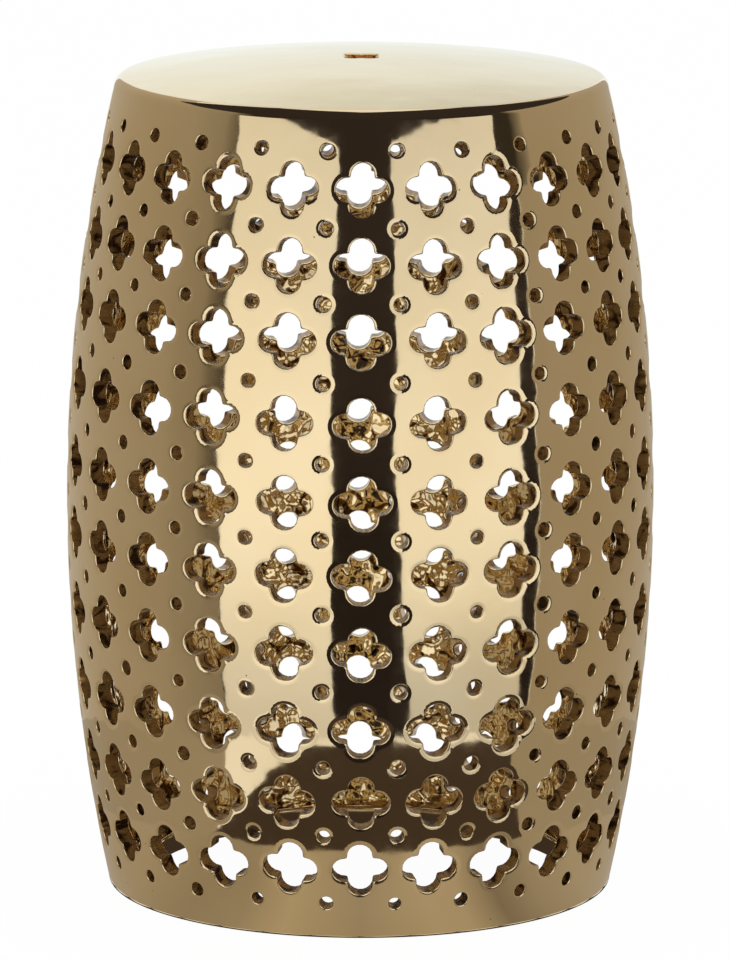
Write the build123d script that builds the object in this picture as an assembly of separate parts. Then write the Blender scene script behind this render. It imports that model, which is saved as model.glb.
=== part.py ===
"""Garden stool: a barrel of pierced stoneware under a gold metallic glaze.

The stool stands on the XY plane with its axis on +Z, and one column of quatrefoils faces -Y. Sizes are in
millimetres. It is built up the way a potter lutes it together from leather-hard clay: a flat ring for the
foot, the pierced barrel wall on the ring, and the domed seat slab on the wall. Four felt pads sit in shallow
pockets under the foot.
"""

import os
from math import cos, radians, sin, sqrt

from build123d import *

# Barrel
BARREL_HEIGHT = 459.0  # floor to the rim of the seat
BELLY_DIAMETER = 330.0  # at mid-height
SEAT_DIAMETER = 273.5  # of the barrel's curve at the rim of the seat
FOOT_DIAMETER = 283.0  # of the barrel's curve at floor level
WALL = 10.0  # thickness of the barrel wall

# Seat slab, domed above and below
SEAT_THICKNESS = 12.0
SEAT_RISE = 11.5  # of the seat's centre above its rim
SEAT_RIM_RADIUS = 7.0
SEAT_LEDGE = 17.0  # width of the flat face that is luted to the wall
VENT_LOBE_OFFSET = 6.5  # lobe centre to hole centre
VENT_LOBE_RADIUS = 5.0
VENT_NOTCH_RADIUS = 0.8

# Pierced lattice in the wall, cut by hand, so that its rows are not quite evenly spaced
COLUMNS = 24
ROW_HEIGHTS = (41.0, 80.0, 121.0, 165.0, 208.0, 248.5, 292.0, 336.5, 377.0, 418.0)  # quatrefoil centres
LOBE_OFFSET = 8.3
LOBE_RADIUS = 6.7
NOTCH_RADIUS = 1.2  # rounding where two lobes meet
PIN_HOLE_DIAMETER = 8.0  # small round holes between the quatrefoils

# Foot ring and pads
FOOT_HEIGHT = 12.0
FOOT_BORE_DIAMETER = 234.0
FOOT_EDGE_RADIUS = 1.5
FOOT_BORE_EDGE_RADIUS = 2.0
PAD_DIAMETER = 16.0
PAD_THICKNESS = 2.0
PAD_PROUD = 0.6  # how far the pads hold the foot off the floor
PAD_CLEARANCE = 0.3  # around a pad in its pocket
PADS = {"pad_right": 0, "pad_back": 90, "pad_left": 180, "pad_front": 270}  # degrees about the axis

# Heights of the two luted joints
FOOT_JOINT = PAD_PROUD + FOOT_HEIGHT
SEAT_JOINT = BARREL_HEIGHT - SEAT_THICKNESS

# The barrel's curve is one arc through the foot, the belly and the seat
BARREL_ARC = ThreePointArc(
    Vector(FOOT_DIAMETER / 2, 0, 0),
    Vector(BELLY_DIAMETER / 2, 0, BARREL_HEIGHT / 2),
    Vector(SEAT_DIAMETER / 2, 0, BARREL_HEIGHT),
)
ARC_CENTRE = BARREL_ARC.arc_center
ARC_RADIUS = BARREL_ARC.radius


def barrel_radius(z, depth=0.0):
    """Distance from the axis, at height z, of the barrel's curve sunk by depth into the wall."""
    return ARC_CENTRE.X + sqrt((ARC_RADIUS - depth) ** 2 - (z - ARC_CENTRE.Z) ** 2)


def barrel_arc(z_low, z_high, depth=0.0):
    """The stretch of the barrel's curve between two heights, as an edge in the XZ plane."""
    heights = (z_low, (z_low + z_high) / 2, z_high)
    return ThreePointArc(*(Vector(barrel_radius(z, depth), 0, z) for z in heights))


def barrel_slice(z_low, z_high):
    """Solid slice of the barrel between two heights."""
    side = barrel_arc(z_low, z_high)
    axis = Polyline(side @ 1, Vector(0, 0, z_high), Vector(0, 0, z_low), side @ 0)
    return revolve(Face(Wire([side, *axis.edges()])), Axis.Z)


def quatrefoil(lobe_offset, lobe_radius, notch_radius):
    """Four round lobes about a centre, with the four notches between them rounded."""
    lobes = [Pos(lobe_offset, 0), Pos(0, lobe_offset), Pos(-lobe_offset, 0), Pos(0, -lobe_offset)]
    outline = RegularPolygon(lobe_offset, 4) + [lobe * Circle(lobe_radius) for lobe in lobes]
    return fillet(outline.vertices(), notch_radius)


def on_wall(z, degrees):
    """Location on the wall's outer face, with its Z axis square to the wall and its X axis level."""
    across, along = cos(radians(degrees)), sin(radians(degrees))
    radius = barrel_radius(z)
    lean = Vector((radius - ARC_CENTRE.X) * across, (radius - ARC_CENTRE.X) * along, z - ARC_CENTRE.Z)
    point = Vector(radius * across, radius * along, z)
    return Plane(point, x_dir=(-along, across, 0), z_dir=lean).location


def pin_heights():
    """Heights of the round holes: midway between rows of quatrefoils, and as far beyond the two end rows."""
    middles = [(low + high) / 2 for low, high in zip(ROW_HEIGHTS, ROW_HEIGHTS[1:])]
    return [2 * ROW_HEIGHTS[0] - middles[0], *middles, 2 * ROW_HEIGHTS[-1] - middles[-1]]


def lattice(heights, turn):
    """Locations of a grid of holes in rows at the given heights, turned by a share of the column spacing."""
    for z in heights:
        for column in range(COLUMNS):
            yield on_wall(z, -90 + (column + turn) * 360 / COLUMNS)


def dome_arc(edge):
    """Arc in the XZ plane from a point at the dome's edge up to its top on the axis."""
    sphere = (edge.X**2 + SEAT_RISE**2) / (2 * SEAT_RISE)
    top = edge.Z + SEAT_RISE
    middle = Vector(edge.X / 2, 0, top - sphere + sqrt(sphere**2 - edge.X**2 / 4))
    return ThreePointArc(edge, middle, Vector(0, 0, top))


def make_seat_top():
    """Domed slab with a rounded rim and a small quatrefoil vent, turned by 45 degrees, at its centre."""
    side = barrel_arc(SEAT_JOINT, BARREL_HEIGHT)
    upper = dome_arc(side @ 1)
    lower = dome_arc(Vector((side @ 0).X - SEAT_LEDGE, 0, SEAT_JOINT))
    ends = [Line(upper @ 1, lower @ 1), Line(lower @ 0, side @ 0)]
    slab = revolve(Face(Wire([side, upper, lower, *ends])), Axis.Z)
    rim = slab.edges().filter_by(lambda edge: edge.is_closed).sort_by(Axis.Z)[-1]
    slab = fillet(rim, SEAT_RIM_RADIUS)
    vent = Rot(0, 0, 45) * quatrefoil(VENT_LOBE_OFFSET, VENT_LOBE_RADIUS, VENT_NOTCH_RADIUS)
    return slab - extrude(Pos(0, 0, SEAT_JOINT) * vent, SEAT_THICKNESS + SEAT_RISE)


def make_barrel_wall():
    """Barrel shell of even thickness, pierced square to its face by quatrefoils and small round holes."""
    outside = barrel_arc(FOOT_JOINT, SEAT_JOINT)
    inside = barrel_arc(FOOT_JOINT, SEAT_JOINT, WALL)
    ends = [Line(outside @ 1, inside @ 1), Line(outside @ 0, inside @ 0)]
    shell = revolve(Face(Wire([outside, inside, *ends])), Axis.Z)
    reach = 1.5 * WALL
    foil_cutter = extrude(quatrefoil(LOBE_OFFSET, LOBE_RADIUS, NOTCH_RADIUS), reach, both=True)
    pin_cutter = extrude(Circle(PIN_HOLE_DIAMETER / 2), reach, both=True)
    cutters = [place * foil_cutter for place in lattice(ROW_HEIGHTS, 0)]
    cutters += [place * pin_cutter for place in lattice(pin_heights(), 0.5)]
    return shell - cutters


def pad_places():
    """Location of each pad's underside, midway across the foot ring."""
    radius = (barrel_radius(PAD_PROUD) + FOOT_BORE_DIAMETER / 2) / 2
    for name, degrees in PADS.items():
        yield name, Rot(0, 0, degrees) * Pos(radius, 0, 0)


def make_base_ring():
    """Flat ring that closes the wall's lower edge and reaches inwards as a ledge, with pockets for pads."""
    ring = barrel_slice(PAD_PROUD, FOOT_JOINT)
    foot_edge = ring.edges().filter_by(GeomType.CIRCLE).sort_by(Axis.Z)[0]
    ring = fillet(foot_edge, FOOT_EDGE_RADIUS)
    ring -= Pos(0, 0, PAD_PROUD) * extrude(Circle(FOOT_BORE_DIAMETER / 2), FOOT_HEIGHT)
    bore = ring.faces().filter_by(GeomType.CYLINDER)[0]
    ring = fillet(bore.edges().filter_by(GeomType.CIRCLE), FOOT_BORE_EDGE_RADIUS)
    pocket = extrude(Circle(PAD_DIAMETER / 2 + PAD_CLEARANCE), PAD_THICKNESS)
    return ring - [place * pocket for _, place in pad_places()]


def make_pad(place):
    """Felt disc, glued into its pocket and standing a little proud of the foot."""
    return place * extrude(Circle(PAD_DIAMETER / 2), PAD_THICKNESS)


pieces = {"seat_top": make_seat_top(), "barrel_wall": make_barrel_wall(), "base_ring": make_base_ring()}
pieces.update({name: make_pad(place) for name, place in pad_places()})

os.makedirs("parts", exist_ok=True)
for name, piece in pieces.items():
    export_step(piece, f"parts/{name}.step", write_pcurves=False)
    print(f"{name}: {len(piece.solids())} solid, {piece.volume / 1000:.1f} cm3")
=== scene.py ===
# %% [markdown]
# # A pierced garden stool in gold lustre
# The object is a drum of stoneware, cut through all round with quatrefoils and small round holes, and
# fired with a film of metal over its glaze. The CAD model fixes every size and place. This lesson gives
# each piece a finer mesh in that same frame, then the finishes, and last the studio that a mirror-like
# glaze needs.

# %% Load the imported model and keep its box
import math

import bmesh
import bpy
import numpy as np
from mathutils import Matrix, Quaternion, Vector


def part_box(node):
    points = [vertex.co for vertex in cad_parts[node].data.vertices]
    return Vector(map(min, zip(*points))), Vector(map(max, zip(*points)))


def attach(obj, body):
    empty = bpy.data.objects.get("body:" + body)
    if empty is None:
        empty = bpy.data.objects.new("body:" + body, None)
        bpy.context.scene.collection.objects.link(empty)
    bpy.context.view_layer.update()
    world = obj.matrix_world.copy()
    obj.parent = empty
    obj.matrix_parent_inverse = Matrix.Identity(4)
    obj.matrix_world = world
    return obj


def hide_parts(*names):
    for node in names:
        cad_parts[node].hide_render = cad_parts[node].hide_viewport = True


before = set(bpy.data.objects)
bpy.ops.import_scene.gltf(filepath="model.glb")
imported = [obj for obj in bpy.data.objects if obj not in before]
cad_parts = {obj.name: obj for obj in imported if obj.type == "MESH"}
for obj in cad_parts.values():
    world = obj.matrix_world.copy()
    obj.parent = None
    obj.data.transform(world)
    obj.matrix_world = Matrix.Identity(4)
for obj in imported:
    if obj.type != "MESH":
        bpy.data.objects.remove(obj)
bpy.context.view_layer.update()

# %% [markdown]
# ## The barrel's form
# A potter would throw or press this drum against a profile. Its side is one long arc through the foot,
# the belly and the seat, so three radii give the whole form. Sizes are in millimetres, as on a potter's
# drawing, and become metres only when a mesh is made.

# %% The arc of the barrel
MM = 0.001
barrel_height = 459.0
foot_radius, belly_radius, seat_radius = 141.5, 165.0, 136.75
wall_thickness = 10.0
foot_joint, seat_joint = (corner[2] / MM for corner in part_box("barrel_wall"))


def circle_through(points):
    """Centre and radius of the circle through three points."""
    (x1, z1), (x2, z2), (x3, z3) = points
    sides = 2 * np.array([[x2 - x1, z2 - z1], [x3 - x1, z3 - z1]])
    squares = np.array([x2**2 - x1**2 + z2**2 - z1**2, x3**2 - x1**2 + z3**2 - z1**2])
    centre = np.linalg.solve(sides, squares)
    return centre, math.hypot(x1 - centre[0], z1 - centre[1])


arc_centre, arc_radius = circle_through(
    [(foot_radius, 0), (belly_radius, barrel_height / 2), (seat_radius, barrel_height)]
)
print(f"barrel: {barrel_height:.0f} mm high")
print(f"side arc: {arc_radius:.0f} mm radius, about z {arc_centre[1]:.0f} mm")

# %% [markdown]
# ## Places on the wall
# Every hole is drawn on the wall itself: a turn about the axis, counted from the front, and a height.
# Each such place has three directions of its own: level along the wall, up along the wall, and straight
# out of it. The outward one is also the exact normal, which matters on a mirror finish.

# %% From a turn, a height and a depth to a point with its directions
def lean(z):
    """How far the wall's outward direction tips up at height z, in radians."""
    return np.arcsin((np.asarray(z) - arc_centre[1]) / arc_radius)


def radius_at(z):
    """The wall's outer radius at height z."""
    return arc_centre[0] + arc_radius * np.cos(lean(z))


def wall_place(turn, z, depth=0.0):
    """Points at a depth under the wall's face, with the level, upward and outward directions there."""
    turn, z, depth = np.broadcast_arrays(turn, z, depth)
    zero, tip = np.zeros_like(turn), lean(z)
    radial = np.stack([np.sin(turn), -np.cos(turn), zero], -1)
    level = np.stack([np.cos(turn), np.sin(turn), zero], -1)
    upright = np.array([0.0, 0.0, 1.0])
    sine, cosine = np.sin(tip)[..., None], np.cos(tip)[..., None]
    outward = radial * cosine + upright * sine
    upward = upright * cosine - radial * sine
    point = radial * radius_at(z)[..., None] + upright * z[..., None] - outward * depth[..., None]
    return point, level, upward, outward


print("wall radius at the seat joint:", round(float(radius_at(seat_joint)), 2), "mm")

# %% [markdown]
# ## Sewing patches into one skin
# The wall could be cut with booleans, but five hundred cuts leave long thin faces that ripple in a
# mirror finish. Here every patch is a regular grid of points that meets its neighbours point for point.
# Sewing welds them into one closed skin, and hands each corner the exact normal that was worked out with
# it.

# %% Weld grids of points into a closed mesh
weld_gap = 0.01 * MM


def sew(name, patches, finishes):
    """Welds patches of (points, normals, closed, finish) into one object.

    The points of a patch run (..., ring, step, xyz), and its finish is a place in the list of finishes.
    """
    points, normals, faces, slots = [], [], [], []
    start = 0
    for places, outward, closed, finish in patches:
        grid = np.arange(start, start + places[..., 0].size).reshape(-1, *places.shape[-3:-1])
        start += grid.size
        here = grid if closed else grid[:, :, :-1]
        after = np.roll(grid, -1, axis=2) if closed else grid[:, :, 1:]
        quads = np.stack([here[:, :-1], after[:, :-1], after[:, 1:], here[:, 1:]], -1).reshape(-1, 4)
        points.append(places.reshape(-1, 3))
        normals.append(np.broadcast_to(outward, places.shape).reshape(-1, 3))
        faces.append(quads)
        slots.append(np.full(len(quads), finish))
    mesh = bpy.data.meshes.new(name)
    mesh.from_pydata((np.concatenate(points) * MM).tolist(), [], np.concatenate(faces).tolist())
    mesh.polygons.foreach_set("material_index", np.concatenate(slots).astype(np.int32))
    kept = mesh.attributes.new("true_normal", "FLOAT_VECTOR", "POINT")
    kept.data.foreach_set("vector", np.concatenate(normals).astype(np.float32).ravel())
    skin = bmesh.new()
    skin.from_mesh(mesh)
    bmesh.ops.remove_doubles(skin, verts=skin.verts, dist=weld_gap)
    bmesh.ops.recalc_face_normals(skin, faces=skin.faces)
    if skin.calc_volume(signed=True) < 0:
        bmesh.ops.reverse_faces(skin, faces=skin.faces)
    open_edges = sum(not edge.is_manifold for edge in skin.edges)
    skin.to_mesh(mesh)
    skin.free()
    mesh.shade_smooth()
    true_normal = np.empty(3 * len(mesh.vertices), np.float32)
    mesh.attributes["true_normal"].data.foreach_get("vector", true_normal)
    mesh.attributes.remove(mesh.attributes["true_normal"])
    mesh.normals_split_custom_set_from_vertices(true_normal.reshape(-1, 3).tolist())
    for finish in finishes:
        mesh.materials.append(finish)
    piece = bpy.data.objects.new(name, mesh)
    bpy.context.scene.collection.objects.link(piece)
    print(f"{name}: {len(mesh.polygons)} faces, {open_edges} open edges")
    return piece


# %% [markdown]
# ## Colours and shader nodes
# Colours are written as sRGB hex, as a paint chart gives them, and one function turns them to the linear
# values that shaders use. A second one adds a shader node with its settings and links, so that each
# finish below reads as a list of what the surface does. Pattern sizes are given in millimetres.

# %% Helpers for the finishes
def linear(hex_colour):
    """The linear colour of an sRGB hex value."""
    channels = [int(hex_colour[i : i + 2], 16) / 255 for i in (1, 3, 5)]
    return [c / 12.92 if c <= 0.04045 else ((c + 0.055) / 1.055) ** 2.4 for c in channels] + [1.0]


def per_mm(size):
    """Texture scale whose features are about size millimetres across, in coordinates of metres."""
    return 1000.0 / size


def add(tree, kind, inputs, stops=(), **settings):
    """Adds a node, sets its properties and colour stops, and sets or links its inputs."""
    made = tree.nodes.new(kind)
    for name, value in settings.items():
        setattr(made, name, value)
    for i, (position, hex_colour) in enumerate(stops):
        stop = made.color_ramp.elements[i] if i < 2 else made.color_ramp.elements.new(position)
        stop.position, stop.color = position, linear(hex_colour)
    for name, value in inputs.items():
        if isinstance(value, bpy.types.NodeSocket):
            tree.links.new(value, made.inputs[name])
        else:
            made.inputs[name].default_value = value
    return made


def new_material(name):
    """An empty node material, with its tree and its surface socket."""
    material = bpy.data.materials.new(name)
    material.use_nodes = True
    tree = material.node_tree
    tree.nodes.clear()
    surface = tree.nodes.new("ShaderNodeOutputMaterial").inputs["Surface"]
    return material, tree, surface


print("lustre gold in linear values:", [round(v, 3) for v in linear("#E7D1A6")])

# %% [markdown]
# ## Gold lustre over a gloss glaze
# Lustre is a film of metal fused to the glaze in a last, cooler firing. To the eye it is a metal with
# the glaze's own skin: very smooth, pulled into soft waves where the glaze ran, with a fine orange peel
# and a few pinholes where gas came through. A metallic shader gives the colour to the reflections, and
# bump the waves. A thin clear coat stands for the glassy skin, which pales the gold where it is seen at
# a low angle, as on the seat.

# %% The outside finish
def lustre_glaze():
    """Smooth gold film with slow waves, finer ripples, an orange peel and pinholes."""
    material, tree, surface = new_material("gold lustre glaze over stoneware")
    place = add(tree, "ShaderNodeTexCoord", {}).outputs["Object"]
    drift = add(tree, "ShaderNodeTexNoise", {"Vector": place, "Scale": per_mm(90), "Detail": 2.0})
    tint = add(
        tree,
        "ShaderNodeValToRGB",
        {"Fac": drift.outputs["Fac"]},
        stops=[(0.35, "#E4CDA0"), (0.65, "#EAD5AC")],
    )
    gas = add(tree, "ShaderNodeTexVoronoi", {"Vector": place, "Scale": per_mm(17), "Randomness": 1.0})
    pinhole = add(
        tree,
        "ShaderNodeValToRGB",
        {"Fac": gas.outputs["Distance"]},
        stops=[(0.018, "#4A361D"), (0.03, "#FFFFFF")],
    )
    colour = add(
        tree,
        "ShaderNodeMix",
        {0: 1.0, 6: tint.outputs["Color"], 7: pinhole.outputs["Color"]},
        data_type="RGBA",
        blend_type="MULTIPLY",
    )
    run = add(tree, "ShaderNodeTexNoise", {"Vector": place, "Scale": per_mm(48), "Detail": 1.0})
    ripple = add(tree, "ShaderNodeTexNoise", {"Vector": place, "Scale": per_mm(15), "Detail": 1.0})
    peel = add(tree, "ShaderNodeTexNoise", {"Vector": place, "Scale": per_mm(7), "Detail": 2.0})
    skin = add(
        tree,
        "ShaderNodeBump",
        {"Height": run.outputs["Fac"], "Distance": 0.9 * MM, "Strength": 1.0},
    )
    for finer, height in ((ripple, 0.12 * MM), (peel, 0.012 * MM)):
        skin = add(
            tree,
            "ShaderNodeBump",
            {
                "Height": finer.outputs["Fac"],
                "Distance": height,
                "Strength": 1.0,
                "Normal": skin.outputs["Normal"],
            },
        )
    gloss = add(
        tree,
        "ShaderNodeMapRange",
        {
            "Value": peel.outputs["Fac"],
            "From Min": 0.3,
            "From Max": 0.7,
            "To Min": 0.045,
            "To Max": 0.085,
        },
    )
    shader = add(
        tree,
        "ShaderNodeBsdfPrincipled",
        {
            "Base Color": colour.outputs[2],
            "Metallic": 1.0,
            "Roughness": gloss.outputs["Result"],
            "Normal": skin.outputs["Normal"],
            "Coat Weight": 0.5,
            "Coat Roughness": 0.03,
            "Coat IOR": 1.5,
            "Coat Normal": skin.outputs["Normal"],
        },
    )
    tree.links.new(shader.outputs["BSDF"], surface)
    return material


outside = lustre_glaze()
print("made", outside.name)

# %% [markdown]
# ## Lustre over cut and rough clay
# The sides of each hole were cut by hand through leather-hard clay, and the inside of the drum was never
# smoothed. Inside, the same lustre lies over a lumpy ground, so it breaks into small bright and brown
# flecks. On the cut faces it is thin and brown, and at the vent the orange clay shows through. One
# function serves all three, with the size of the lumps, the gloss and the colours as its arguments.

# %% The finishes of the cut edges, of the inside and of the vent
def rough_lustre(name, lump_mm, lump_height_mm, metallic, roughness, stops):
    """Streaky lustre over lumps of a given size."""
    material, tree, surface = new_material(name)
    place = add(tree, "ShaderNodeTexCoord", {}).outputs["Object"]
    lumps = add(tree, "ShaderNodeTexNoise", {"Vector": place, "Scale": per_mm(lump_mm), "Detail": 0.4})
    streaks = add(
        tree,
        "ShaderNodeTexNoise",
        {"Vector": place, "Scale": per_mm(1.1 * lump_mm), "Detail": 1.5, "Distortion": 1.2},
    )
    colour = add(tree, "ShaderNodeValToRGB", {"Fac": streaks.outputs["Fac"]}, stops=stops)
    bump = add(
        tree,
        "ShaderNodeBump",
        {"Height": lumps.outputs["Fac"], "Distance": lump_height_mm * MM, "Strength": 1.0},
    )
    shader = add(
        tree,
        "ShaderNodeBsdfPrincipled",
        {
            "Base Color": colour.outputs["Color"],
            "Metallic": metallic,
            "Roughness": roughness,
            "Normal": bump.outputs["Normal"],
        },
    )
    tree.links.new(shader.outputs["BSDF"], surface)
    return material


cut_stops = [(0.38, "#3A2614"), (0.52, "#A07C48")]
cut_edge = rough_lustre("gold lustre over cut clay", 9.0, 0.4, 0.65, 0.2, cut_stops)
inside_stops = [(0.37, "#5C4020"), (0.44, "#F0DAAC")]
inside = rough_lustre("gold lustre over rough clay", 10.0, 1.25, 1.0, 0.05, inside_stops)
vent_stops = [(0.36, "#6A3A14"), (0.46, "#D48A40")]
vent_edge_clay = rough_lustre("thin lustre over orange clay", 6.0, 0.5, 0.2, 0.1, vent_stops)
print("made", ", ".join(finish.name for finish in (cut_edge, inside, vent_edge_clay)))

# %% [markdown]
# ## The outline of a quatrefoil
# A quatrefoil is four round lobes about a centre. The cutter leaves the notches between lobes slightly
# blunt, so a small arc touches each pair of lobes there. Flat drawings are kept as complex numbers,
# whose real part runs across and whose imaginary part runs up: turning a drawing is then one
# multiplication.

# %% Quatrefoil outline
foil_offset, foil_lobe, foil_notch = 8.3, 6.7, 1.2
foil_lobe_points, foil_notch_points = 10, 1
notch_growth = 0.6  # of a notch's rounding, as a ring is drawn further outside the hole


def quatrefoil(lobe_offset, lobe_radius, notch_radius, lobe_points, notch_points):
    """Points round the outline, and for each one the direction that leads from the hole into the clay."""
    touch = lobe_radius + notch_radius
    along = (math.sqrt(2) * lobe_offset + math.sqrt(4 * touch**2 - 2 * lobe_offset**2)) / 2
    corner = along * np.exp(0.25j * np.pi)
    half = np.angle(corner - lobe_offset)
    lobe = np.exp(1j * np.linspace(-half, half, lobe_points))
    notch = np.exp(1j * np.linspace(half + np.pi, 1.5 * np.pi - half, notch_points + 2)[1:-1])
    quarter = np.concatenate([lobe_offset + lobe_radius * lobe, corner + notch_radius * notch])
    ways = np.concatenate([lobe, -notch])
    turns = 1j ** np.arange(4)[:, None]
    return (turns * quarter).ravel(), (turns * ways).ravel()


def foil_outline(spread):
    """The outline that the wall's holes are cut to, drawn larger by spread."""
    notch = foil_notch + notch_growth * spread
    return quatrefoil(foil_offset, foil_lobe + spread, notch, foil_lobe_points, foil_notch_points)


print("points round a hole:", len(foil_outline(0.0)[0]))

# %% [markdown]
# ## Laying out the lattice
# Ten rows of quatrefoils go round the wall in twenty-four columns, with a small round hole at every
# corner between them. They are cut by hand through a paper template, so the rows aren't quite even, the
# columns drift a little as the work goes round, and the holes of the belly come out wider. No two sit
# quite true: a seeded random generator gives each hole a small shift, turn and change of size, the same
# ones at every run.

# %% Centres of the holes, and the small errors of the hand
columns = 24
row_heights = np.array([41.0, 80.0, 121.0, 165.0, 208.0, 248.5, 292.0, 336.5, 377.0, 418.0])
middles = (row_heights[:-1] + row_heights[1:]) / 2
pin_radius, pin_steps = 3.7, 16
rows = len(row_heights)
foil_slip, foil_tilt, foil_change = 0.35, 3.0, 0.013  # millimetres, degrees and share of the size
pin_slip, pin_change = 0.3, 0.06
width_at, width_share = [41, 80, 336, 377, 418], [1.02, 1.06, 1.065, 1.01, 0.96]
hand = np.random.default_rng(5)


def slip(size, shape):
    """Random errors of about that size, never more than one and a half times as large."""
    return np.clip(hand.normal(0.0, size, shape), -1.5 * size, 1.5 * size)


def drifted(turn):
    """The turns of holes with the slow drift of the columns, in degrees, as the work goes round."""
    at = [-180, -135, -75, -40, -15, 25, 50, 75, 135, 180]
    drift = [0.0, 1.4, -0.8, -0.7, 0.0, 0.0, -0.4, -0.6, -1.4, 0.0]
    return turn + np.radians(np.interp((np.degrees(turn) + 180) % 360 - 180, at, drift))


even_turn = np.arange(columns)[None, :] * 2 * np.pi / columns
foil_turn = drifted(even_turn)
foil_z = row_heights[:, None]
foil_width = np.interp(row_heights, width_at, width_share)[:, None, None]
foil_grid = rows, columns
foil_shift = slip(foil_slip, foil_grid) + 1j * slip(foil_slip, foil_grid)
foil_twist = np.exp(1j * np.radians(slip(foil_tilt, foil_grid))) * (1 + slip(foil_change, foil_grid))
pin_turn = drifted(even_turn + np.pi / columns)
pin_ends = 2 * row_heights[[0, -1]] - middles[[0, -1]]
pin_z = np.concatenate([pin_ends[:1], middles, pin_ends[1:]])[:, None]
pin_grid = rows + 1, columns
pin_shift = slip(pin_slip, pin_grid) + 1j * slip(pin_slip, pin_grid)
pin_size = pin_radius * (1 + slip(pin_change, pin_grid))
print(f"{foil_shift.size} quatrefoils and {pin_shift.size} round holes")

# %% [markdown]
# ## Drawing a hole on the curved wall
# A hole keeps its width from the outside of the wall to the inside, so the same drawing covers a
# slightly larger turn at depth. The two functions below give any ring round every hole at once: spread
# says how far outside the cut edge the ring runs, and depth how far under the outer face.

# %% Rings round the holes
def on_wall(turn, z, drawing, depth):
    """Turn and height of a flat drawing that is laid on the wall about the given centres."""
    tip = np.cos(lean(z))
    return turn + drawing.real / (radius_at(z) - depth * tip), z + drawing.imag * tip


def foil_ring(spread, depth):
    """A ring round every quatrefoil: turn, height, and the way into the clay."""
    outline, ways = foil_outline(spread)
    widened = foil_width * outline.real + 1j * outline.imag
    drawing = foil_shift[..., None] + foil_twist[..., None] * widened
    turn, z = on_wall(foil_turn[..., None], foil_z[..., None], drawing, depth)
    return turn, z, foil_twist[..., None] * ways


def pin_ring(spread, depth):
    """A ring round every small round hole: turn, height, and the way into the clay."""
    ways = np.exp(2j * np.pi * np.arange(pin_steps) / pin_steps)
    drawing = pin_shift[..., None] + (pin_size[..., None] + spread) * ways
    turn, z = on_wall(pin_turn[..., None], pin_z[..., None], drawing, depth)
    return turn, z, np.broadcast_to(ways, drawing.shape)


def ring_skin(draw, spread, depth, into_clay, out_of_wall):
    """Points of a ring, and normals mixed from the way into the clay and the way out of the wall."""
    turn, z, ways = draw(spread, depth)
    point, level, upward, outward = wall_place(turn, z, depth)
    way = ways.real[..., None] * level + ways.imag[..., None] * upward
    normal = into_clay * way + out_of_wall * outward
    return point, normal / np.linalg.norm(normal, axis=-1, keepdims=True)


print("first ring of quatrefoils:", foil_ring(0.0, 0.0)[0].shape)

# %% [markdown]
# ## Lip, cut and back of a hole
# A sponge rounds each cut edge, and glaze pools beside it, so the wall dips gently towards every hole
# before it turns in. That shallow dip is what bends the bright lines round the holes. The lip is a slope
# of a few millimetres that steepens to fourteen degrees, then a tight round edge, then the straight cut
# and a worn edge on the inside.

# %% Patches of one kind of hole
edge_radius, inner_edge = 0.9, 1.2
dip, edge_turn, cut_turn = (math.radians(degrees) for degrees in (14, 52, 90))
outer_face, cut_face, inner_face = range(3)  # places in the wall's list of finishes


def lip_rings(width):
    """Spread, depth and tilt of the rings of a lip, from the plain wall to the straight cut."""
    foot_spread = edge_radius * (1 - math.sin(dip))
    sink = (width - foot_spread) * math.tan(dip) / 2
    rings = [(width, 0.0, 0.0)]
    for tilt in (dip, edge_turn, cut_turn):
        depth = sink + edge_radius * (math.cos(dip) - math.cos(tilt))
        rings.append((edge_radius * (1 - math.sin(tilt)), depth, tilt))
    return rings


def hole_patches(draw, lip_width):
    """The lip, the cut and the inner edge of every hole that draw gives, as patches to sew."""
    lip = [
        ring_skin(draw, spread, depth, -math.sin(tilt), math.cos(tilt))
        for spread, depth, tilt in lip_rings(lip_width)
    ]
    cut = [lip[-1], ring_skin(draw, 0.0, wall_thickness - inner_edge, -1.0, 0.0)]
    back = [cut[-1], ring_skin(draw, inner_edge, wall_thickness, 0.0, -1.0)]
    return [
        (np.stack([r[0] for r in rings], -3), np.stack([r[1] for r in rings], -3), True, finish)
        for finish, rings in ((outer_face, lip), (cut_face, cut), (inner_face, back))
    ]


foil_lip, wide_pin_lip, narrow_pin_lip = 3.0, 2.8, 1.3
pin_lip = np.full((rows + 1, 1, 1), wide_pin_lip)
pin_lip[[0, -1]] = narrow_pin_lip  # less room beside the joints
hole_skins = hole_patches(foil_ring, foil_lip) + hole_patches(pin_ring, pin_lip)
print("patches of the holes:", [patch[0].shape[:-1] for patch in hole_skins])

# %% [markdown]
# ## The web of clay between the holes
# What is left of the wall is a web. Round each quatrefoil it is one band of faces, from the lip out to a
# line that runs from pin hole to pin hole. Neighbours share that line, so the whole web closes by
# itself, and it is drawn twice: on the outer face and on the inner one.

# %% The web round every quatrefoil
quarter = pin_steps // 4
line_points = foil_lobe_points + foil_notch_points - quarter + 1  # from one pin to the next


def pin_places(spread, depth):
    """Rings of the pins to the right of each column, and to the left, as turn plus height times i."""
    turn, z, _ = pin_ring(spread, depth)
    right = turn + 1j * z
    left = np.roll(right, 1, axis=1)
    left[:, 0] -= 2 * np.pi
    return right, left


def straight(start, end, points):
    """Evenly spaced places from start to end."""
    share = np.linspace(0.0, 1.0, points)
    return start[..., None] * (1 - share) + end[..., None] * share


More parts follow.
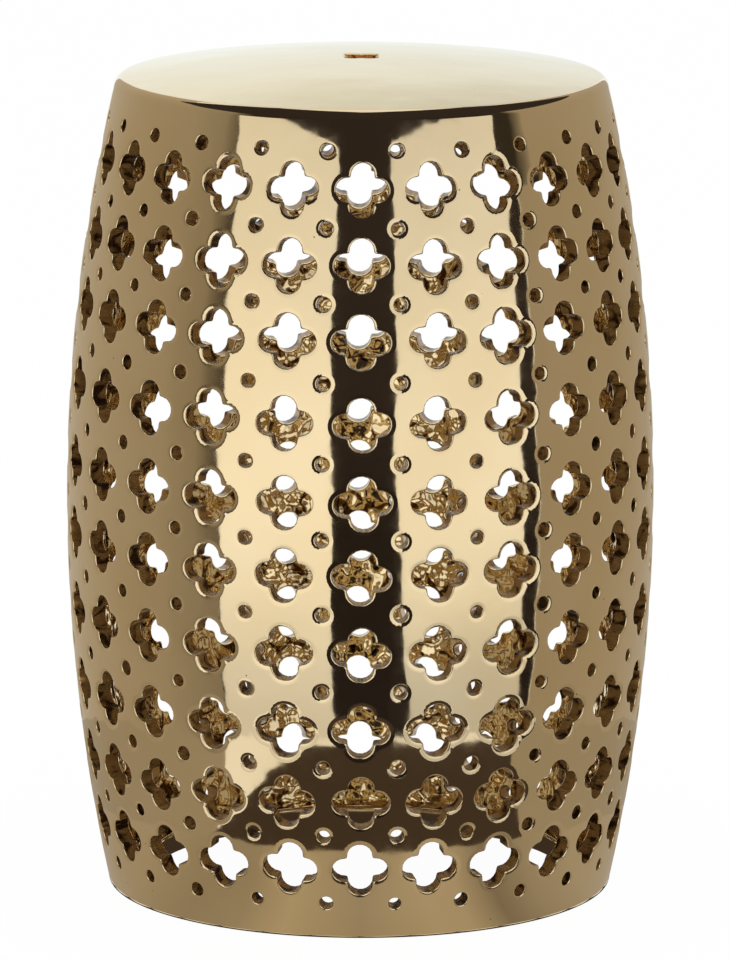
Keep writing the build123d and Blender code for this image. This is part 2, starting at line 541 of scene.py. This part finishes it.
def cell_edge(spread, depth):
    """The line round each quatrefoil's share of the web, in step with the points of the quatrefoil."""
    right, left = pin_places(spread, depth)
    pins = [right[:-1], right[1:], left[1:], left[:-1]]
    line = []
    for side in range(4):
        near, far = pins[side], pins[(side + 1) % 4]
        leave, arrive = ((side + turns) * quarter % pin_steps for turns in (1, 3))
        line.append(straight(near[..., leave], far[..., arrive], line_points))
        line.append(far[..., [(arrive - step) % pin_steps for step in range(1, quarter)]])
    line = np.roll(np.concatenate(line, -1), 1, axis=-1)
    return line.real, line.imag


def web_patch(spread_foil, spread_pin, depth, out, finish):
    """The web on one face of the wall."""
    edge = wall_place(*cell_edge(spread_pin, depth), depth)
    hole = wall_place(*foil_ring(spread_foil, depth)[:2], depth)
    return np.stack([edge[0], hole[0]], -3), out * np.stack([edge[3], hole[3]], -3), True, finish


web = [
    web_patch(foil_lip, pin_lip, 0.0, 1, outer_face),
    web_patch(inner_edge, inner_edge, wall_thickness, -1, inner_face),
]
lips = foil_ring(foil_lip, 0.0)[0]
clay = np.roll(lips.min(-1), -1, axis=1) - lips.max(-1)
clay[:, -1] += 2 * np.pi
print("narrowest clay between two lips:", (clay * radius_at(foil_z)).min(-1).round(1), "mm")
print("faces of the web:", sum(patch[0][..., 0].size // 2 for patch in web))

# %% [markdown]
# ## The plain bands at the two joints
# Above the top pins and below the bottom ones the wall runs plain to its joints with the seat and the
# foot ring. Each band starts along the line of pins and ends on a level circle, and a flat cap closes
# the wall's thickness.

# %% Bands, caps, and the sewn wall
def band_rings(row, joint, depth, spread):
    """The line along the end row of pins, and the level circle at the joint, in turn and height."""
    right, left = (pins[row] for pins in pin_places(spread, depth))
    half = 1 if joint > barrel_height / 2 else -1
    steps = np.arange(quarter + 1)
    opposite = 2 * quarter
    line = np.concatenate(
        [
            left[:, half * (quarter - steps) % pin_steps],
            straight(left[:, 0], right[:, opposite], line_points)[:, 1:-1],
            right[:, (opposite - half * steps) % pin_steps],
        ],
        -1,
    )
    joint_z = arc_centre[1] + (joint - arc_centre[1]) * arc_radius / (arc_radius - depth)
    turn = np.stack([line.real, line.real], -2)
    return turn, np.stack([line.imag, np.full_like(line.real, joint_z)], -2)


bands = []
for row, joint in ((-1, seat_joint), (0, foot_joint)):
    outer = wall_place(*band_rings(row, joint, 0.0, pin_lip), 0.0)
    inner = wall_place(*band_rings(row, joint, wall_thickness, inner_edge), wall_thickness)
    bands.append((outer[0], outer[3], False, outer_face))
    bands.append((inner[0], -inner[3], False, inner_face))
    cap_points = np.stack([outer[0][:, 1], inner[0][:, 1]], -3)
    cap_normals = np.stack([outer[3][:, 1], -inner[3][:, 1]], -3)
    bands.append((cap_points, cap_normals, False, inner_face))

barrel_wall = sew("barrel_wall_glazed", web + hole_skins + bands, [outside, cut_edge, inside])

# %% [markdown]
# ## The seat
# The seat is a slab pressed over a shallow hump, so that rain runs off it, and luted to the wall under a
# glaze that hides the joint. Its dome and its round rim are two circles that touch, and the rim touches
# the barrel's arc as well. It is made of rings too, from the quatrefoil vent at its centre out over the
# rim and back underneath.

# %% Circles of the seat
seat_rise, seat_ledge, rim_radius = 11.5, 17.0, 7.0


def dome(circle_radius, circle_z):
    """Centre height and radius of the sphere that rises by seat_rise from a circle."""
    sphere = (circle_radius**2 + seat_rise**2) / (2 * seat_rise)
    return circle_z + seat_rise - sphere, sphere


dome_z, dome_radius = dome(seat_radius, barrel_height)
under_edge = float(radius_at(seat_joint)) - seat_ledge
under_z, under_radius = dome(under_edge, seat_joint)

dome_centre = np.array([0.0, dome_z])
to_barrel = arc_centre - dome_centre
gap = np.hypot(*to_barrel)
reach_dome, reach_barrel = dome_radius - rim_radius, arc_radius - rim_radius
along = (reach_dome**2 - reach_barrel**2 + gap**2) / (2 * gap)
across = math.sqrt(reach_dome**2 - along**2)
forward = to_barrel / gap
sideways = np.array([-forward[1], forward[0]])
crossings = [dome_centre + along * forward + side * sideways for side in (across, -across)]
rim_centre = max(crossings, key=lambda centre: centre[1])
rim_start = math.atan2(rim_centre[1] - dome_z, rim_centre[0])
rim_end = math.atan2(rim_centre[1] - arc_centre[1], rim_centre[0] - arc_centre[0])
dome_edge = rim_centre[0] + rim_radius * math.cos(rim_start)
print(f"dome of {dome_radius:.0f} mm radius out to {dome_edge:.1f} mm, rim about {rim_centre.round(1)}")

# %% [markdown]
# ## Rings of the seat
# Three kinds of ring make up the seat: quatrefoils round the vent, circles on a dome, and circles at any
# height with a tilt of their own. All have the same number of points, and start in the same direction,
# so that each ring can be sewn to the next.

# %% Rings round the vent and round the axis
vent_offset, vent_lobe, vent_notch = 6.5, 5.0, 0.8
vent_lobe_points, vent_notch_points = 80, 8
seat_steps = 4 * (vent_lobe_points + vent_notch_points)
vent_turn = np.pi / 4  # from the wall's quatrefoils


def vent_ring(spread, z, into_clay, upward):
    """A ring round the vent, with normals mixed from the way into the clay and straight up."""
    notch = vent_notch + notch_growth * spread
    drawing = quatrefoil(vent_offset, vent_lobe + spread, notch, vent_lobe_points, vent_notch_points)
    outline, ways = (np.exp(1j * vent_turn) * drawn for drawn in drawing)
    point = np.stack([outline.real, outline.imag, np.full(seat_steps, z)], -1)
    normal = np.stack([into_clay * ways.real, into_clay * ways.imag, np.full(seat_steps, upward)], -1)
    return point, normal / np.linalg.norm(normal, axis=-1, keepdims=True)


def round_ring(radius, z, tip):
    """A level circle, with normals that tip up by the given angle from the horizontal."""
    steps = np.arange(seat_steps) - (vent_lobe_points - 1) / 2
    turn = vent_turn + steps * 2 * np.pi / seat_steps
    around = np.stack([np.cos(turn), np.sin(turn), np.zeros(seat_steps)], -1)
    upright = np.array([0.0, 0.0, 1.0])
    return radius * around + z * upright, math.cos(tip) * around + math.sin(tip) * upright


def dome_ring(radius, centre_z, sphere, side):
    """A circle on a dome, seen from above for side 1 and from below for side -1."""
    rise = math.sqrt(sphere**2 - radius**2)
    tip = math.atan2(rise, radius)
    return round_ring(radius, centre_z + rise, tip if side > 0 else tip - math.pi)


print("points round each ring of the seat:", seat_steps)

# %% [markdown]
# ## Sewing the seat
# The upper rings run from the straight side of the vent over its rounded lip, out along the dome and
# round the rim to the joint. The lower ones run back under the slab: along the flat ledge that is luted
# to the wall, up the hollow underside, and to the vent again. The vent's own side shows the clay.

# %% Upper and lower rings, and the sewn seat
vent_lip, vent_sink, vent_edge = 1.5, 1.2, 0.8
vent_reach = 13.0  # where the dome's height is that of the vent's edge
dome_rings = (20, 28, 40, 56, 72, 88, 104, 118, dome_edge)
rim_rings = 15
ledge_rings = (138.0, under_edge + 1)
under_rings = (under_edge - 1, 104, 80, 56, 36, 22)
vent_top = dome_z + math.sqrt(dome_radius**2 - vent_reach**2)
vent_bottom = under_z + math.sqrt(under_radius**2 - vent_reach**2)
upper = [vent_ring(0.0, vent_bottom + vent_edge, -1, 0), vent_ring(0.0, vent_top - vent_sink, -1, 0)]
for t in np.radians([22.5, 45, 67.5, 90]):
    spread, sink = vent_lip * (1 - math.cos(t)), vent_sink * (1 - math.sin(t))
    upper.append(vent_ring(spread, vent_top - sink, -math.cos(t) / vent_lip, math.sin(t) / vent_sink))
upper += [dome_ring(radius, dome_z, dome_radius, 1) for radius in dome_rings]
for t in np.linspace(rim_start, rim_end, rim_rings)[1:]:
    radius, z = rim_centre + rim_radius * np.array([math.cos(t), math.sin(t)])
    upper.append(round_ring(radius, z, t))
upper.append(round_ring(float(radius_at(seat_joint)), seat_joint, float(lean(seat_joint))))
lower = [upper[-1]]
lower += [round_ring(radius, seat_joint, -math.pi / 2) for radius in ledge_rings]
lower += [dome_ring(radius, under_z, under_radius, -1) for radius in under_rings]
lower += [vent_ring(vent_edge, vent_bottom, 0, -1), upper[0]]
patches = [
    (np.stack([ring[0] for ring in rings]), np.stack([ring[1] for ring in rings]), True, finish)
    for finish, rings in enumerate((upper[1:], upper[:2], lower))
]
seat_top = sew("seat_top_glazed", patches, [outside, vent_edge_clay, inside])

# %% [markdown]
# ## The foot ring
# The foot is a flat ring under the wall that reaches inwards as a ledge. It is spun from its profile,
# with the soft edges that sponging leaves on clay. Under it are four shallow pockets for felt pads: a
# boolean cuts them, because four cuts in a plain face leave no ripples to see.

# %% Spin a profile about the axis
pad_proud, foot_edge, bore_edge, bore_radius = 0.6, 1.5, 2.0, 117.0
foot_edge_out = 0.3  # by which the foot's round edge stands out to touch the leaning wall
ring_steps = 288


def spun(name, profile, steps, finish, centre=(0.0, 0.0)):
    """Spins a profile of (radius, z), in millimetres, about an upright axis through centre, in metres."""
    form = bmesh.new()
    line = [form.verts.new((radius * MM, 0.0, z * MM)) for radius, z in profile]
    line += [form.edges.new(pair) for pair in zip(line, line[1:])]
    bmesh.ops.spin(form, geom=line, axis=(0, 0, 1), angle=2 * math.pi, steps=steps, use_merge=True)
    bmesh.ops.remove_doubles(form, verts=form.verts, dist=weld_gap)
    bmesh.ops.recalc_face_normals(form, faces=form.faces)
    bmesh.ops.translate(form, verts=form.verts, vec=(*centre, 0.0))
    mesh = bpy.data.meshes.new(name)
    form.to_mesh(mesh)
    form.free()
    mesh.shade_smooth()
    mesh.set_sharp_from_angle(angle=math.radians(35))
    mesh.materials.append(finish)
    piece = bpy.data.objects.new(name, mesh)
    bpy.context.scene.collection.objects.link(piece)
    print(f"{name}: {len(mesh.polygons)} faces")
    return piece


def rounded(corner, radius, start, end, steps=7):
    """Points of an arc about corner, between two angles in degrees."""
    angles = np.radians(np.linspace(start, end, steps))
    return [(corner[0] + radius * math.cos(a), corner[1] + radius * math.sin(a)) for a in angles]


foot_corner = float(radius_at(pad_proud)) - foot_edge + foot_edge_out
profile = [(float(radius_at(z)), z) for z in np.linspace(foot_joint, pad_proud + foot_edge + 1, 4)]
profile += rounded((foot_corner, pad_proud + foot_edge), foot_edge, -12, -90)
profile += rounded((bore_radius + bore_edge, pad_proud + bore_edge), bore_edge, -90, -180)
profile += rounded((bore_radius + bore_edge, foot_joint - bore_edge), bore_edge, 180, 90)
base_ring = spun("base_ring_glazed", profile + profile[:1], ring_steps, outside)

# %% [markdown]
# ## Felt pads
# Pressed felt is a mat of short wool fibres: dull, a little fuzzy, with no thread or weave. Its fibres
# are far too fine to show here, so the mottle and the bump are drawn at about a millimetre. A rough,
# sheen-edged shader gives the dusty look of felt at a low angle.

# %% The felt
def pressed_felt():
    """Dull black felt with a mottle of fibres and a dusty sheen."""
    material, tree, surface = new_material("black pressed wool felt")
    place = add(tree, "ShaderNodeTexCoord", {}).outputs["Object"]
    fibres = add(
        tree,
        "ShaderNodeTexNoise",
        {"Vector": place, "Scale": per_mm(1.1), "Detail": 4.0, "Roughness": 0.7},
    )
    mottle = fibres.outputs["Fac"]
    stops = [(0.3, "#1A1918"), (0.7, "#34312E")]
    colour = add(tree, "ShaderNodeValToRGB", {"Fac": mottle}, stops=stops)
    nap = add(tree, "ShaderNodeBump", {"Height": mottle, "Distance": 0.3 * MM, "Strength": 1.0})
    shader = add(
        tree,
        "ShaderNodeBsdfPrincipled",
        {
            "Base Color": colour.outputs["Color"],
            "Roughness": 0.95,
            "Sheen Weight": 0.4,
            "Sheen Roughness": 0.5,
            "Normal": nap.outputs["Normal"],
        },
    )
    tree.links.new(shader.outputs["BSDF"], surface)
    return material


felt = pressed_felt()
print("made", felt.name)

# %% [markdown]
# ## Pads in their pockets
# The CAD model gives each pad's box, and the disc is spun inside it. A slightly wider disc, which
# reaches down past the foot, cuts the pocket that the pad is glued into. The cutters are thrown away
# after use.

# %% The four pads and their pockets
pad_steps, pad_edge, pad_clearance, pocket_start = 48, 0.5, 0.3, -1.0
pad_nodes = ["pad_front", "pad_right", "pad_back", "pad_left"]
pads, cutters = [], []
for node in pad_nodes:
    low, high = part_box(node)
    centre = ((low[0] + high[0]) / 2, (low[1] + high[1]) / 2)
    radius, top = (high[0] - low[0]) / 2 / MM, high[2] / MM
    edge = rounded((radius - pad_edge, pad_edge), pad_edge, 0, -90, 5)
    disc = [(0, top), (radius, top), *edge, (0, 0)]
    pads.append(spun(f"{node}_felt", disc, pad_steps, felt, centre))
    wide = radius + pad_clearance
    pocket = [(0, top), (wide, top), (wide, pocket_start), (0, pocket_start)]
    cutters.append(spun(f"{node}_pocket", pocket, pad_steps, outside, centre))
    base_ring.modifiers.new(node, "BOOLEAN").object = cutters[-1]
evaluated = base_ring.evaluated_get(bpy.context.evaluated_depsgraph_get())
cut_mesh = bpy.data.meshes.new_from_object(evaluated)
base_ring.modifiers.clear()
base_ring.data = cut_mesh
for cutter in cutters:
    bpy.data.objects.remove(cutter)
print("foot ring with pockets:", len(base_ring.data.polygons), "faces")

# %% [markdown]
# ## Handing the pieces to the model
# Each finished piece stands for one node of the CAD model, which stays behind it for collision. Nothing
# on the stool moves, so every piece rides on the one body.

# %% Ride and replace
dressed = {"barrel_wall": barrel_wall, "seat_top": seat_top, "base_ring": base_ring}
dressed.update(zip(pad_nodes, pads))
for node, piece in dressed.items():
    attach(piece, "root")
    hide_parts(node)
print("dressed:", ", ".join(dressed))

# %% [markdown]
# ## Floor and surroundings
# The stool stands on a seamless pale floor that runs out of the picture. The floor mixes plain white
# paint, which takes the stool's shadow, with a share of its own light for the rays that the camera and
# the glaze send out, so it reads as white without more lamps. The surroundings are the same even white.

# %% The material of the floor
floor_glow, floor_reach = 0.97, 12.0


def seen_directly(tree):
    """One for rays from the camera, or by way of gloss or glass, and none for the others."""
    path = add(tree, "ShaderNodeLightPath", {})
    first = add(
        tree,
        "ShaderNodeMath",
        {0: path.outputs["Is Camera Ray"], 1: path.outputs["Is Glossy Ray"]},
        operation="ADD",
    )
    both = add(
        tree,
        "ShaderNodeMath",
        {0: first.outputs[0], 1: path.outputs["Is Transmission Ray"]},
        operation="ADD",
        use_clamp=True,
    )
    return both.outputs[0]


def white_floor():
    """White paint that also gives its own light to the rays that are seen directly."""
    material, tree, surface = new_material("white painted studio floor")
    paint = add(tree, "ShaderNodeBsdfDiffuse", {"Color": linear("#F2F2F2")})
    own_light = add(tree, "ShaderNodeEmission", {"Color": linear("#FFFFFF"), "Strength": 1.0})
    share = add(tree, "ShaderNodeMath", {0: seen_directly(tree), 1: floor_glow}, operation="MULTIPLY")
    mixed = add(
        tree,
        "ShaderNodeMixShader",
        {"Fac": share.outputs[0], 1: paint.outputs["BSDF"], 2: own_light.outputs["Emission"]},
    )
    tree.links.new(mixed.outputs["Shader"], surface)
    return material


painted = white_floor()
print("made", painted.name)

# %% [markdown]
# ## The floor and the world
# The floor is one square, far larger than the picture. The world is the white of the room: a little
# weaker for the light that it lays on the floor than for the rays that see it.

# %% Floor and world
mesh = bpy.data.meshes.new("studio_floor")
corners = [(x * floor_reach, y * floor_reach, 0) for x, y in ((-1, -1), (1, -1), (1, 1), (-1, 1))]
mesh.from_pydata(corners, [], [(0, 1, 2, 3)])
mesh.materials.append(painted)
floor = bpy.data.objects.new("studio_floor", mesh)
bpy.context.scene.collection.objects.link(floor)

world = bpy.data.worlds.new("white studio")
world.use_nodes = True
bpy.context.scene.world = world
sky = world.node_tree
sky.nodes.clear()
strength = add(sky, "ShaderNodeMapRange", {"Value": seen_directly(sky), "To Min": 0.95, "To Max": 1.0})
glow = {"Color": linear("#FFFFFF"), "Strength": strength.outputs["Result"]}
light = add(sky, "ShaderNodeBackground", glow)
sky.links.new(light.outputs["Background"], add(sky, "ShaderNodeOutputWorld", {}).inputs["Surface"])
print("floor and world made")

# %% [markdown]
# ## What the glaze reflects
# A mirror-like glaze has no look of its own: it shows the studio. Product photographers surround such a
# piece with tall diffusers and black flags, and the photograph's bright and dark bands are their
# reflections. They stand here as curved screens about the stool, turned towards it, and only reflections
# see them. Each has a brightness along its edges, because a diffuser is brightest at the height of the
# lamp behind it.

# %% A screen about the stool
screen_steps = 33


def screen(name, tint, start, end, profile, end_profile=None):
    """A curved screen between two turns in degrees.

    Its profiles, at its start and at its end, are lists of (radius, z, brightness), in metres.
    """
    share = np.linspace(0.0, 1.0, screen_steps)
    blend = np.multiply.outer(profile, 1 - share) + np.multiply.outer(end_profile or profile, share)
    radius, z, brightness = blend.transpose(1, 0, 2)
    turn = np.radians(start + (end - start) * share)
    points = np.stack([radius * np.sin(turn), -radius * np.cos(turn), z], -1)
    grid = np.arange(z.size).reshape(z.shape)
    quads = np.stack([grid[:-1, :-1], grid[:-1, 1:], grid[1:, 1:], grid[1:, :-1]], -1).reshape(-1, 4)
    mesh = bpy.data.meshes.new(name)
    mesh.from_pydata(points.reshape(-1, 3).tolist(), [], quads.tolist())
    mesh.attributes.new("brightness", "FLOAT", "POINT").data.foreach_set("value", brightness.ravel())
    material, tree, surface = new_material(name.replace("_", " ") + " cloth")
    glow = add(tree, "ShaderNodeAttribute", {}, attribute_name="brightness")
    cloth = add(tree, "ShaderNodeEmission", {"Color": linear(tint), "Strength": glow.outputs["Fac"]})
    tree.links.new(cloth.outputs["Emission"], surface)
    mesh.materials.append(material)
    made = bpy.data.objects.new(name, mesh)
    bpy.context.scene.collection.objects.link(made)
    made.visible_camera = made.visible_diffuse = made.visible_shadow = False
    made.visible_transmission = made.visible_volume_scatter = False
    return made


white, tan, black, brown = "#FFFFFF", "#FFEFD6", "#FFE6E1", "#FFDDC6"
print("tints of the screens:", white, tan, black, brown)

# %% [markdown]
# ## Profiles of the screens
# Seen from the side a screen is a line: upright for a cloth that hangs, flat for one that lies on the
# floor or over the seat, and flat for the painted shadow and light on the floor. Each point of the line
# has a brightness. Where a screen changes along its width, it has one profile at its start and another
# at its end.

# %% Upright and flat profiles
cloth_at, drape_at, fold_at, corner_at, backdrop_at = 0.42, 0.43, 0.415, 0.413, 1.2
cloth_top, flag_z, floor_z, ground_z = 0.9, 0.51, 0.0006, 0.0003
foot_at, floor_from = 0.1435, 0.235


def standing(radius, levels):
    """An upright profile at a distance from the axis, through pairs of height and brightness."""
    return [(radius, z, brightness) for z, brightness in levels]


def flat(inner, outer, z, brightness):
    """A flat profile between two distances from the axis."""
    return [(inner, z, brightness), (outer, z, brightness)]


def tall(brightness):
    """An upright profile of one brightness."""
    return standing(cloth_at, [(0.0, brightness), (cloth_top, brightness)])


def diffuser(top, share, low):
    """An upright profile, brightest where the lamp stands behind it, with the brightness low down."""
    lamp = [(0.0, 0.85 * low), (0.13, low), (0.25, 1.09), (0.38, 1.19)]
    lamp += [(0.51, 1.16), (0.64, 1.11), (0.77, 0.99), (1.0, 0.89)]
    return standing(cloth_at, [(top * z, share * brightness) for z, brightness in lamp])


print("screens stand", cloth_at, "m from the axis, the backdrop", backdrop_at, "m")

# %% [markdown]
# ## What hangs and what lies
# The black drape is a little lighter at the top. A fold of it slopes down in front of the right
# diffuser's lower inner corner. The left wall is in shade beside the drape. Two small cloths shape the
# upper outer corners of the diffusers. The backdrop behind the stool gives the seat its sheen, paler on
# the left.

# %% The profiles by name
drape = standing(drape_at, [(ground_z, 0.02), (0.2, 0.022), (0.3, 0.0315), (cloth_top, 0.0315)])
drape_fold, drape_fold_low, drape_fold_end = (
    standing(fold_at, [(0.0, 0.025), (top, 0.025)]) for top in (0.3, 0.09, 0.03)
)
shade = standing(cloth_at, [(0.0, 0.27), (0.12, 0.24), (0.22, 0.09), (0.45, 0.06), (cloth_top, 0.04)])
shade_end = standing(cloth_at, [(z, 0.30) for _, z, _ in shade])
corner_light = standing(corner_at, [(0.45, 0.98), (0.555, 0.89)])
corner_dark, corner_end = (
    standing(corner_at, [(0.462, brightness), (0.7, brightness)]) for brightness in (0.035, 0.34)
)
backdrop_right = standing(backdrop_at, [(0.02, 0.85), (0.4, 0.91), (0.75, 0.88), (0.95, 0.74), (1.5, 0.5)])
backdrop_left = standing(backdrop_at, [(0.02, 0.89), (0.4, 0.99), (0.95, 1.0), (1.2, 0.93), (1.5, 0.8)])
flag, flag_side, flag_end = (
    flat(*span, flag_z, 0.035) for span in ((0.126, 0.215), (0.09, 0.215), (0.149, 0.151))
)
dark_floor, dark_floor_end = (flat(floor_from, outer, floor_z, 0.06) for outer in (0.40, 0.25))
dark_floor_centre = flat(0.39, 0.44, 0.0005, 0.035)
tan_floor = flat(floor_from, cloth_at, floor_z, 0.36)
# Painted shadow: the stool's shade on the floor under and inside the foot, seen only in reflections.
foot_shadow = flat(0.05, foot_at, ground_z, 0.05)
# Painted light: a paler pool on the floor at the axis, inside the painted shadow.
axis_light = flat(0.001, 0.05, ground_z, 0.40)
# Painted light and shade: the floor's uneven brightness in a band just outside the foot, by turn.
foot_light = [(-180, 0.41), (-70, 0.41), (-45, 0.33), (-30, 0.36), (-18, 0.50), (0, 0.37), (18, 0.48)]
foot_light += [(27, 0.46), (38, 0.24), (50, 0.34), (70, 0.41), (180, 0.41)]
print("brightness of the drape:", [brightness for _, _, brightness in drape])

# %% [markdown]
# ## The screens of this photograph
# A black drape hangs in front, and two white diffusers stand before it with gaps between them, which
# give the dark bands. Tan walls close the sides. A dark flag over the front of the seat draws its rim.
# The floor shows low on the barrel: dark in front, tan elsewhere, nearly black under the foot, where a
# painted shadow stands for the stool's shade, with a painted pool of light at the axis. A band just
# outside the foot has painted, uneven light.

# %% Drape, diffusers, walls, flag and floor
screens = [
    screen("drape", black, -52.0, 59.3, drape),
    screen("diffuser_left", white, -46.0, -9.0, diffuser(0.56, 1.0, 0.88), diffuser(0.52, 1.0, 0.88)),
    screen("diffuser_right", white, 10.8, 53.5, diffuser(0.52, 0.93, 0.78), diffuser(0.56, 0.93, 0.78)),
    screen("drape_fold", black, 9.5, 12.6, drape_fold, drape_fold_low),
    screen("drape_fold_end", black, 12.6, 16.0, drape_fold_low, drape_fold_end),
    screen("diffuser_left_corner", white, -44.5, -49.3, corner_light),
    screen("drape_right_corner", tan, 53.5, 61.0, corner_dark),
    screen("drape_right_corner_end", tan, 61.0, 66.5, corner_dark, corner_end),
    screen("wall_left_shade", tan, -46.5, -55.0, shade, shade_end),
    screen("wall_left_end", tan, -55.0, -70.0, tall(0.30), tall(0.37)),
    screen("wall_left", tan, -70.0, -150.0, tall(0.37), tall(0.5)),
    screen("wall_right", tan, 59.3, 150.0, tall(0.375), tall(0.45)),
    screen("backdrop", "#FBFFFA", 165.0, 195.0, backdrop_right, backdrop_left),
    screen("flag_over_seat_left", black, 0.0, -36.0, flag, flag_side),
    screen("flag_over_seat_left_end", black, -36.0, -70.0, flag_side, flag_end),
    screen("flag_over_seat_right", black, 0.0, 45.0, flag, flag_side),
    screen("flag_over_seat_right_end", black, 45.0, 92.0, flag_side, flag_end),
    screen("dark_floor", brown, -20.0, 52.0, dark_floor),
    screen("dark_floor_left", brown, -20.0, -46.0, dark_floor, dark_floor_end),
    screen("dark_floor_centre", black, -9.0, 10.8, dark_floor_centre),
    screen("tan_floor_left", tan, -46.0, -150.0, tan_floor),
    screen("tan_floor_right", tan, 52.0, 150.0, tan_floor),
    # Painted shadow under the foot, and a painted pool of light at the axis; only reflections see them.
    screen("painted_shadow_under_the_foot", brown, -180.0, 180.0, foot_shadow),
    screen("painted_light_at_the_axis", tan, -180.0, 180.0, axis_light),
]
# Painted, uneven light on the floor just outside the foot, one sheet for each step of turn.
for (start, first), (end, last) in zip(foot_light, foot_light[1:]):
    near_foot = [flat(foot_at, 0.24, ground_z, brightness) for brightness in (first, last)]
    screens.append(screen(f"floor_by_the_foot_from_{start}", tan, start, end, *near_foot))
print(len(screens), "screens about the stool")

# %% [markdown]
# ## Lamp, camera and view
# One large soft lamp overhead lays the shadow under the stool. The camera is a long lens from a little
# above, as in the photograph, and its place was found by matching the lattice of holes and the outline
# of the barrel.

# %% Lamp and camera
lamp = bpy.data.objects.new("overhead_lamp", bpy.data.lights.new("overhead_lamp", "AREA"))
lamp.data.shape, lamp.data.size, lamp.data.energy = "DISK", 1.6, 8.0
lamp.location = (0.0, -0.2, 2.0)
lamp.visible_glossy = False
bpy.context.scene.collection.objects.link(lamp)

azimuth, elevation, roll = (math.radians(degrees) for degrees in (-0.305, 11.2, 0.168))
distance, focal_pixels, picture_height = 4.278, 7604.0, 960
aim_right, aim_height = 0.00235, 0.22969
right = Vector((math.cos(azimuth), math.sin(azimuth), 0.0))
run, rise = math.cos(elevation), math.sin(elevation)
back = Vector((math.sin(azimuth) * run, -math.cos(azimuth) * run, rise))
camera = bpy.data.objects.new("camera", bpy.data.cameras.new("camera"))
camera.data.sensor_fit, camera.data.sensor_height = "VERTICAL", 36.0
camera.data.lens = focal_pixels / picture_height * camera.data.sensor_height
camera.location = aim_right * right + Vector((0.0, 0.0, aim_height)) + distance * back
camera.rotation_mode = "QUATERNION"
camera.rotation_quaternion = back.to_track_quat("Z", "Y") @ Quaternion((0.0, 0.0, 1.0), roll)
bpy.context.scene.collection.objects.link(camera)
bpy.context.scene.camera = camera
bpy.context.scene.view_settings.view_transform = "Standard"
print(f"camera at {[round(v, 3) for v in camera.location]}, lens {camera.data.lens:.0f} mm")
